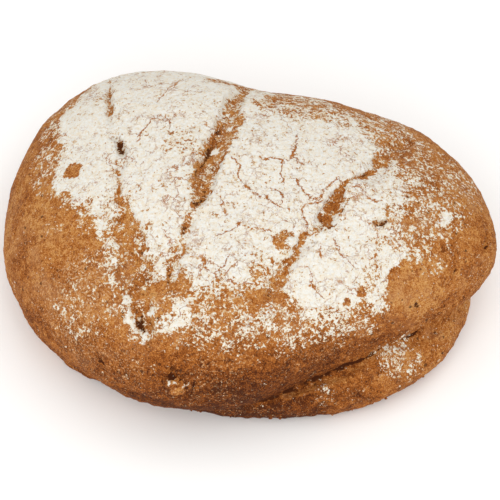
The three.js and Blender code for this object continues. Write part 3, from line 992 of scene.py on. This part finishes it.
@dataclass(frozen=True)
class BakedCrust:
    """The baked surface: browning, mottling, flakes of bran, pale grains and painted shade in creases and
    the split.
    """

    pale: Colour = (200, 146, 84)
    golden: Colour = (169, 99, 39)
    brown: Colour = (137, 75, 28)
    dark: Colour = (106, 53, 17)
    # The darkest brown of the browning, also used for the painted shade in creases, pits and the split.
    burnt_and_shade: Colour = (70, 32, 10)
    bran: Colour = (74, 44, 26)
    haze: Colour = (177, 131, 93)
    fleck: Colour = (212, 172, 126)
    ramp_stops: tuple[float, ...] = (0.0, 0.35, 0.6, 0.85, 1.0)
    blotch: Layer = Layer(8.0, 3.0, 0.6, 0.8)
    wrinkles: Layer = Layer(2.4, 3.0, 0.6, -0.7)
    wrinkle_bend: Range = (6.0, 2.0)
    grit: Layer = Layer(0.6, 2.0, 0.7, 2.1)
    flake_size: float = 1.5
    flake_bend: Range = (1.2, 0.8)
    flake_gain: float = 0.32
    speck_size: float = 4.2
    speck_bend: Range = (0.9, 0.45)
    speck_share: float = 0.6
    speck_radius: float = 0.2
    speck_edge: Range = (-0.02, 0.05)
    speck_strength: float = 0.8
    haze_layer: Layer = Layer(21.0, 4.0, 0.7)
    haze_span: Range = (0.5, 0.74)
    haze_bake: Range = (0.75, 0.35)
    haze_strength: float = 0.4
    fleck_layer: Layer = Layer(0.9, 2.0, 0.6)
    fleck_dust: float = 0.22
    fleck_span: Range = (0.66, 0.78)
    fleck_strength: float = 0.6
    # Noise for the painted shade's ragged edge and for the pores in the torn strips.
    shade_noise: Layer = Layer(1.1, 2.0, 0.6, 1.0)
    shade_span: Range = (0.42, 0.7)
    grit_span: Range = (0.2, 0.8)
    roughness: Range = (0.74, 0.92)
    flake_height: float = 0.25
    wrinkle_height: float = 1.6
    grit_height: float = 0.9
    speck_height: float = -0.4

    def group(self) -> bpy.types.NodeTree:
        """Wires the finish.

        Returns:
            A node group of Coordinates, Bake, Dust and the painted shade with pores to Colour, Roughness
            and Height.
        """
        inputs = {"Coordinates": SocketKind.VECTOR, "Bake": SocketKind.VALUE, "Dust": SocketKind.VALUE,
                  "Shade and Pores": SocketKind.VALUE}
        outputs = {"Colour": SocketKind.COLOUR, "Roughness": SocketKind.VALUE, "Height": SocketKind.VALUE}
        graph, given, result = new_group("baked_crust", inputs, outputs)
        place, bake = given.outputs["Coordinates"], given.outputs["Bake"]
        blotch = graph.noise(place, self.blotch)
        wrinkles = graph.noise(graph.bent(place, *self.wrinkle_bend), self.wrinkles)
        grit = graph.noise(place, self.grit)
        flakes = self.flakes(graph, place)
        specks = self.specks(graph, place)
        level = bake
        for value, gain in ((blotch, self.blotch.gain), (grit, self.grit.gain), (flakes, self.flake_gain),
                            (wrinkles, self.wrinkles.gain)):
            level = graph.sway(value, gain, level)
        ramp = graph.add("ValToRGB", {"Fac": level})
        self.fill(ramp.color_ramp)
        haze = graph.span(graph.noise(place, self.haze_layer), *self.haze_span, 0.0, self.haze_strength)
        haze = graph.math("MULTIPLY", haze, graph.span(bake, *self.haze_bake))
        base = graph.blend(haze, ramp.outputs["Color"], colour(*self.haze))
        pale = graph.noise(place, self.fleck_layer)
        pale = graph.math("MULTIPLY_ADD", given.outputs["Dust"], self.fleck_dust, pale)
        pale = graph.span(pale, *self.fleck_span, 0.0, self.fleck_strength)
        base = graph.blend(pale, base, colour(*self.fleck))
        base = graph.blend(graph.math("MULTIPLY", specks, self.speck_strength), base, colour(*self.bran))
        # Painted shade in the creases, pits and split, and pores in the torn strips, pull the colour
        # toward the burnt colour.
        tear = graph.noise(place, self.shade_noise)
        tear = graph.sway(tear, self.shade_noise.gain, given.outputs["Shade and Pores"])
        base = graph.blend(graph.span(tear, *self.shade_span), base, colour(*self.burnt_and_shade))
        height = blotch
        for value, rise in ((flakes, self.flake_height), (wrinkles, self.wrinkle_height),
                            (grit, self.grit_height), (specks, self.speck_height)):
            height = graph.math("MULTIPLY_ADD", value, rise, height)
        rough = graph.span(grit, *self.grit_span, *self.roughness)
        graph.give(result, {"Colour": base, "Roughness": rough, "Height": height})
        return graph.tree

    def fill(self, ramp: bpy.types.ColorRamp) -> None:
        """Puts the browning's colours on a ramp.

        Args:
            ramp: The ramp, from pale to the darkest brown.
        """
        colours = (self.pale, self.golden, self.brown, self.dark, self.burnt_and_shade)
        while len(ramp.elements) < len(colours):
            ramp.elements.new(0.5)
        for element, position, rgb in zip(ramp.elements, self.ramp_stops, colours):
            element.position = position
            element.color = colour(*rgb)

    def flakes(self, graph: Graph, place: Socket) -> Socket:
        """Random values from 0 to 1, one for each small flake of the crust."""
        cells = graph.cells(graph.bent(place, *self.flake_bend), self.flake_size)
        return graph.add("SeparateColor", {"Color": cells.outputs["Color"]}).outputs[0]

    def specks(self, graph: Graph, place: Socket) -> Socket:
        """A mask of scattered, uneven specks of dark bran.

        Args:
            graph: The graph to wire in.
            place: The coordinates.

        Returns:
            The mask's socket.
        """
        cells = graph.cells(graph.bent(place, *self.speck_bend), self.speck_size)
        pick = graph.add("SeparateColor", {"Color": cells.outputs["Color"]}).outputs[0]
        radius = graph.span(pick, 0.0, self.speck_share, self.speck_radius, 0.0)
        spot = graph.math("SUBTRACT", radius, cells.outputs["Distance"])
        return graph.span(spot, *self.speck_edge)


class Plates(NamedTuple):
    """Plates that the flour broke into, and the cracks between them.

    A plate's size, a crack's half width and the stretch over which cracks come and go are in mm, and the
    cracks' strength is from 0 to 1.
    """

    size: float
    half_width: float
    stretch: float
    strength: float


@dataclass(frozen=True)
class FlourDust:
    """The flour: a creamy layer of fine grains that cracked as the dough rose."""

    thick: Colour = (233, 231, 224)
    thin: Colour = (226, 204, 165)
    sparse: Range = (1.5, -0.25)
    dense: Range = (0.74, 0.36)
    grains: tuple[Layer, ...] = (
        Layer(3.6, 3.0, 0.6, 2.0), Layer(1.2, 2.0, 0.65, 2.6), Layer(0.5, 1.0, 0.5, 1.2),
    )
    edge: Range = (0.44, 0.56)
    plates: tuple[Plates, ...] = (Plates(13.0, 0.22, 20.0, 0.85), Plates(5.5, 0.16, 9.0, 0.6))
    plate_bend: Range = (0.7, 0.6)
    fine_bend: Range = (0.25, 0.25)
    crack_edge: Range = (1.6, 0.4)
    crack_detail: Range = (4.0, 0.7)
    crack_presence: Range = (0.47, 0.58)
    jags: Layer = Layer(1.6, 3.0, 0.7, 0.8)
    gaps: Layer = Layer(2.6, 3.0, 0.7, 0.42)
    drawn_edge: Range = (0.11, 0.03)
    drawn_reach: Range = (0.3, 0.55)
    body: Range = (0.5, 0.85)
    tint: Layer = Layer(1.6, 4.0, 0.75)
    tint_span: Range = (0.66, 0.4)
    tint_range: Range = (0.45, 1.0)
    height: Range = (0.12, 0.12)

    def group(self) -> bpy.types.NodeTree:
        """Wires the dusting.

        Returns:
            A node group of Coordinates, Cover, Crack and Crack Side to Colour, Mask and Height.
        """
        inputs = {"Coordinates": SocketKind.VECTOR, "Cover": SocketKind.VALUE, "Crack": SocketKind.VALUE,
                  "Crack Side": SocketKind.VALUE}
        outputs = {"Colour": SocketKind.COLOUR, "Mask": SocketKind.VALUE, "Height": SocketKind.VALUE}
        graph, given, result = new_group("flour_dust", inputs, outputs)
        place, cover = given.outputs["Coordinates"], given.outputs["Cover"]
        sparse = graph.math("MULTIPLY_ADD", cover, *self.sparse)
        dense = graph.math("MULTIPLY_ADD", cover, *self.dense)
        level = graph.math("MINIMUM", sparse, dense)
        for layer in self.grains:
            level = graph.sway(graph.noise(place, layer), layer.gain, level)
        opened = self.drawn_cracks(graph, place, given)
        for plates in self.plates:
            opened = graph.math("MAXIMUM", opened, self.plate_cracks(graph, place, plates))
        whole = graph.math("SUBTRACT", 1.0, opened)
        mask = graph.math("MULTIPLY", graph.span(level, *self.edge), whole)
        body = graph.span(level, *self.body)
        tint = graph.span(graph.noise(place, self.tint), *self.tint_span, *self.tint_range)
        tint = graph.math("MULTIPLY", body, tint)
        shade = graph.blend(tint, colour(*self.thin), colour(*self.thick))
        height = graph.math("MULTIPLY", graph.math("MULTIPLY_ADD", body, *self.height), mask)
        graph.give(result, {"Colour": shade, "Mask": mask, "Height": height})
        return graph.tree

    def drawn_cracks(self, graph: Graph, place: Socket, given: bpy.types.Node) -> Socket:
        """A mask of the cracks that are drawn on the loaf.

        Args:
            graph: The graph to wire in.
            place: The coordinates.
            given: The group's input node.

        Returns:
            The mask's socket.
        """
        jagged = graph.sway(graph.noise(place, self.jags), self.jags.gain, given.outputs["Crack Side"])
        across = graph.math("ABSOLUTE", graph.math("SUBTRACT", jagged, 0.5))
        broken = graph.sway(graph.noise(place, self.gaps), self.gaps.gain, across)
        near = graph.span(given.outputs["Crack"], *self.drawn_reach)
        return graph.math("MULTIPLY", graph.span(broken, *self.drawn_edge), near)

    def plate_cracks(self, graph: Graph, place: Socket, plates: Plates) -> Socket:
        """A mask of the cracks between the plates that the flour broke into.

        Args:
            graph: The graph to wire in.
            place: The coordinates.
            plates: The plates.

        Returns:
            The mask's socket.
        """
        spot = place
        for spacing, reach in (self.plate_bend, self.fine_bend):
            spot = graph.bent(spot, plates.size * spacing, plates.size * reach)
        cells = graph.cells(spot, plates.size, "DISTANCE_TO_EDGE")
        low, high = (plates.half_width * part / plates.size for part in self.crack_edge)
        line = graph.span(cells.outputs["Distance"], low, high)
        present = graph.noise(place, Layer(plates.stretch, *self.crack_detail))
        line = graph.math("MULTIPLY", line, graph.span(present, *self.crack_presence))
        return graph.math("MULTIPLY", line, plates.strength)


@dataclass
class Loaf:
    """The loaf: its fine skin over the solid, torn and lumpy, and its finish."""

    node: str = "loaf"
    slot: str = "crust"
    voxel: float = 1.12
    smoothing: int = 7
    base_ease: Range = (0.2, 3.0)
    bump_height: float = 0.6
    # Crust between the flour's plates is darker brown where the flour is thick: partly its own colour,
    # partly painted shade in the gaps.
    flour_gap_darkening: float = 0.45
    flour_gap_brown_and_shade: Colour = (165, 98, 37)
    streaks: float = 0.2
    streak_spacing: float = 6.0
    pores: float = 0.38
    roughness: Range = (0.8, 0.97)
    specular: float = 0.1
    relief: CrustRelief = field(default_factory=CrustRelief)
    slashes: Slashes = field(default_factory=Slashes)
    split: Split = field(default_factory=Split)
    flour: Flour = field(default_factory=Flour)
    film: DustFilm = field(default_factory=DustFilm)
    cracks: Cracks = field(default_factory=Cracks)
    bake: Bake = field(default_factory=Bake)
    knobs: tuple[Knob, ...] = (Knob((-30, -89, 41.5), 6.5, 1.4), Knob((17, -37, 79), 6.0, 0.7))

    def build(self) -> bpy.types.Object:
        """Grows the fine skin from the solid and tears it open.

        Returns:
            The loaf, riding on its body in place of the solid.
        """
        skin = self.tear(Skin.of(self.fine_mesh()))
        piece = new_object("walnut_loaf", skin.mesh)
        shade_smooth(skin.mesh)
        self.paint(skin)
        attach(piece, "root")
        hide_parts(self.node)
        return piece

    def fine_mesh(self) -> bpy.types.Mesh:
        """Covers the solid's surface with small, even faces.

        Returns:
            The new mesh, with its edges eased.
        """
        rough = new_object("rough_loaf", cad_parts[self.node].data.copy())
        remesh = rough.modifiers.new("even", "REMESH")
        remesh.mode = "VOXEL"
        remesh.voxel_size = self.voxel * MM
        smooth = rough.modifiers.new("ease", "SMOOTH")
        smooth.iterations = self.smoothing
        graph = bpy.context.evaluated_depsgraph_get()
        mesh = bpy.data.meshes.new_from_object(rough.evaluated_get(graph))
        mesh.materials.clear()
        bpy.data.objects.remove(rough)
        return mesh

    def tear(self, skin: Skin) -> Skin:
        """Adds the slashes, the split, the pits, the crust's lumps and the flour's thickness.

        Args:
            skin: The eased skin.

        Returns:
            The skin with its relief.
        """
        above = ease(skin.points[:, 2], *self.base_ease)
        heights = self.relief.heights(skin) + self.slashes.heights(skin) + self.split.heights(skin)
        heights += self.flour.thickness * self.flour.cover(skin)
        heights += sum(knob.heights(skin) for knob in self.knobs)
        return skin.push(heights * above)

    def paint(self, skin: Skin) -> None:
        """Paints the channels that the finish reads.

        Args:
            skin: The torn skin.
        """
        torn = self.slashes.torn(skin)
        streaks = self.streaks * torn * grain(skin.points, self.streak_spacing, 2, Chance.STREAKS)
        # Painted shade in the creases, pits and the split under the lip.
        dark = np.maximum(self.slashes.painted_shade(skin), self.split.painted_shade(skin))
        offsets = self.cracks.offsets(skin)
        cover = self.slashes.bare(skin, self.flour.cover(skin))
        skin.paint(Channel.FLOUR, self.flour.clump(skin, cover))
        skin.paint(Channel.BAKE, self.bake.brownness(skin) + streaks)
        skin.paint(Channel.DUST, self.film.amount(skin))
        skin.paint(Channel.CRACK, 1.0 - np.abs(offsets))
        skin.paint(Channel.CRACK_SIDE, 0.5 + 0.5 * offsets)
        # The shade channel: that painted shade, and dark pores inside the torn strips.
        skin.paint(Channel.SHADE_AND_PORES, np.maximum(dark, self.pores * torn))

    def dress(self, piece: bpy.types.Object, crust: bpy.types.NodeTree, dust: bpy.types.NodeTree) -> None:
        """Gives the loaf its finish.

        Args:
            piece: The loaf.
            crust: The baked crust's node group.
            dust: The flour's node group.
        """
        graph = new_material(piece.data, "floured_crust")
        place = graph.add("TexCoord").outputs["Object"]
        painted = {channel: graph.add("Attribute", attribute_name=channel.value).outputs["Fac"]
                   for channel in Channel}
        baked = graph.add("Group", node_tree=crust)
        graph.give(baked, {"Coordinates": place, "Bake": painted[Channel.BAKE],
                           "Dust": painted[Channel.DUST], "Shade and Pores": painted[Channel.SHADE_AND_PORES]})
        dusted = graph.add("Group", node_tree=dust)
        graph.give(dusted, {"Coordinates": place, "Cover": painted[Channel.FLOUR],
                            "Crack": painted[Channel.CRACK], "Crack Side": painted[Channel.CRACK_SIDE]})
        mask = dusted.outputs["Mask"]
        # Painted shade in the flour's gaps, with a more saturated brown, the thicker the flour around
        # them.
        flour_gap_share = graph.math("MULTIPLY", painted[Channel.FLOUR], self.flour_gap_darkening)
        bare = graph.blend(flour_gap_share, baked.outputs["Colour"], colour(*self.flour_gap_brown_and_shade))
        base = graph.blend(mask, bare, dusted.outputs["Colour"])
        rough = graph.span(mask, 0.0, 1.0, *self.roughness)
        height = graph.math("ADD", baked.outputs["Height"], dusted.outputs["Height"])
        bump = graph.add("Bump", {"Strength": 1.0, "Distance": self.bump_height * MM, "Height": height})
        graph.surface({"Base Color": base, "Roughness": rough, "Normal": bump.outputs["Normal"],
                       "Specular IOR Level": self.specular})


@dataclass
class Crumbs:
    """Crumbs of crust that stick to the loaf's lower edge."""

    count: int = 20
    smallest: float = 0.5
    largest: float = 1.0
    slot: str = "crust"
    heights: Range = (1.0, 7.0)
    front: float = -30.0
    leftmost: float = -40.0
    facing: float = 0.3
    knobbliness: float = 0.45
    knobs: float = 1.7
    width: Range = (0.8, 1.3)
    flatness: Range = (0.6, 0.9)
    clearance: float = 1.4
    brownness: float = 0.66
    bump_height: float = 0.3
    specular: float = 0.1

    def build(self, loaf: bpy.types.Object) -> bpy.types.Object:
        """Makes the crumbs along the front of the lower edge.

        Args:
            loaf: The loaf that they stick to.

        Returns:
            All the crumbs as one piece.
        """
        skin = Skin.of(loaf.data)
        x, y, z = skin.points.T
        low, high = self.heights
        rim = (z > low) & (z < high) & (y < self.front) & (x > self.leftmost)
        rim = np.flatnonzero(rim & (skin.normals[:, 2] < self.facing))
        dice = random.Random(SEED)
        mesh = bmesh.new()
        for index in dice.sample(rim.tolist(), self.count):
            self.add_crumb(mesh, Vector(skin.points[index]), dice)
        data = bpy.data.meshes.new("crumbs")
        mesh.to_mesh(data)
        mesh.free()
        shade_smooth(data)
        piece = new_object("crumbs", data)
        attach(piece, "root")
        return piece

    def add_crumb(self, mesh: bmesh.types.BMesh, centre: Vector, dice: random.Random) -> None:
        """Adds one knobbly crumb to a mesh.

        Args:
            mesh: The mesh that takes the crumb.
            centre: The place on the loaf that it sticks to, in mm.
            dice: The source of chance.
        """
        size = self.smallest + (self.largest - self.smallest) * dice.random() ** 2
        made = bmesh.ops.create_icosphere(mesh, subdivisions=2, radius=size * MM)
        for vertex in made["verts"]:
            knob = noise.noise(vertex.co / (size * MM) * self.knobs + centre)
            vertex.co *= 1.0 + self.knobbliness * knob
        sides = [dice.uniform(*part) for part in (self.width, self.width, self.flatness)]
        stretch = Matrix.Diagonal((*sides, 1.0))
        angle = dice.uniform(0.0, math.tau)
        turn = Matrix.Rotation(angle, 4, Vector((dice.random(), dice.random(), 1.0)))
        lift = Vector((centre.x, centre.y, max(centre.z, size * self.clearance)))
        placed = Matrix.Translation(lift * MM) @ turn @ stretch
        bmesh.ops.transform(mesh, matrix=placed, verts=made["verts"])

    def dress(self, piece: bpy.types.Object, crust: bpy.types.NodeTree) -> None:
        """Gives the crumbs the baked crust's finish.

        Args:
            piece: The crumbs.
            crust: The baked crust's node group.
        """
        graph = new_material(piece.data, "crumb")
        place = graph.add("TexCoord").outputs["Object"]
        baked = graph.add("Group", node_tree=crust)
        graph.give(baked, {"Coordinates": place})
        baked.inputs["Bake"].default_value = self.brownness
        bump = graph.add("Bump", {"Strength": 1.0, "Distance": self.bump_height * MM,
                                  "Height": baked.outputs["Height"]})
        graph.surface({"Base Color": baked.outputs["Colour"], "Roughness": baked.outputs["Roughness"],
                       "Normal": bump.outputs["Normal"], "Specular IOR Level": self.specular})


@dataclass(frozen=True)
class Panel:
    """A square light panel that faces the loaf: its place and side in metres and its power in watts."""

    name: str
    place: Place
    side: float
    power: float

    def hang(self) -> None:
        """Hangs the panel in the scene."""
        data = bpy.data.lights.new(self.name, "AREA")
        data.size = self.side
        data.energy = self.power
        panel = new_object(self.name, data)
        panel.location = self.place
        panel.rotation_euler = (-Vector(self.place)).to_track_quat("-Z", "Y").to_euler()


@dataclass
class Studio:
    """A pale table, soft light from above and the camera at the photograph's angle."""

    table_size: float = 6.0
    table_colour: Colour = (250, 249, 247)
    table_roughness: float = 0.9
    world_strength: float = 0.82
    panels: tuple[Panel, ...] = (
        Panel("key", (-0.15, -0.85, 1.05), 1.2, 5.5), Panel("top", (0.5, 0.2, 1.4), 1.4, 4.5),
        Panel("fill", (0.1, -1.3, 0.35), 1.4, 4.0), Panel("side", (-1.3, -0.1, 0.45), 1.2, 2.0),
    )
    camera_distance: float = 1.1
    camera_elevation: float = 54.0
    target: Place = (0.5, -9.6, 35.0)
    lens: float = 173.5

    def build(self) -> None:
        """Sets up the table, the light and the camera."""
        self.lay_table()
        self.light()
        self.place_camera()
        bpy.context.scene.view_settings.view_transform = "Standard"

    def lay_table(self) -> None:
        """Lays a wide pale table under the loaf."""
        mesh = bmesh.new()
        bmesh.ops.create_grid(mesh, x_segments=1, y_segments=1, size=self.table_size / 2)
        data = bpy.data.meshes.new("table")
        mesh.to_mesh(data)
        mesh.free()
        table = new_object("table", data)
        graph = new_material(data, "table")
        graph.surface({"Base Color": colour(*self.table_colour), "Roughness": self.table_roughness})

    def light(self) -> None:
        """Hangs the soft light panels in a bright room."""
        world = bpy.data.worlds.new("room")
        world.use_nodes = True
        graph = Graph(world.node_tree)
        glow = graph.add("Background", {"Color": (1.0, 1.0, 1.0, 1.0), "Strength": self.world_strength})
        graph.add("OutputWorld", {"Surface": glow.outputs[0]})
        bpy.context.scene.world = world
        for panel in self.panels:
            panel.hang()

    def place_camera(self) -> None:
        """Puts the camera where the photograph was taken from."""
        data = bpy.data.cameras.new("camera")
        data.lens = self.lens
        camera = new_object("camera", data)
        rise = math.radians(self.camera_elevation)
        view = Vector((0.0, math.cos(rise), -math.sin(rise)))
        camera.location = Vector(self.target) * MM - view * self.camera_distance
        camera.rotation_euler = view.to_track_quat("-Z", "Y").to_euler()
        bpy.context.scene.camera = camera


def main() -> None:
    """Builds the loaf, its crumbs and the studio, and reports each piece."""
    logging.basicConfig(level=logging.INFO, format="%(name)s: %(message)s")
    crust = BakedCrust().group()
    dust = FlourDust().group()
    loaf = Loaf()
    piece = loaf.build()
    loaf.dress(piece, crust, dust)
    LOG.info("%s: %d faces", piece.name, len(piece.data.polygons))
    crumbs = Crumbs()
    bits = crumbs.build(piece)
    crumbs.dress(bits, crust)
    LOG.info("%s: %d faces", bits.name, len(bits.data.polygons))
    Studio().build()


if __name__ == "__main__":
    main()
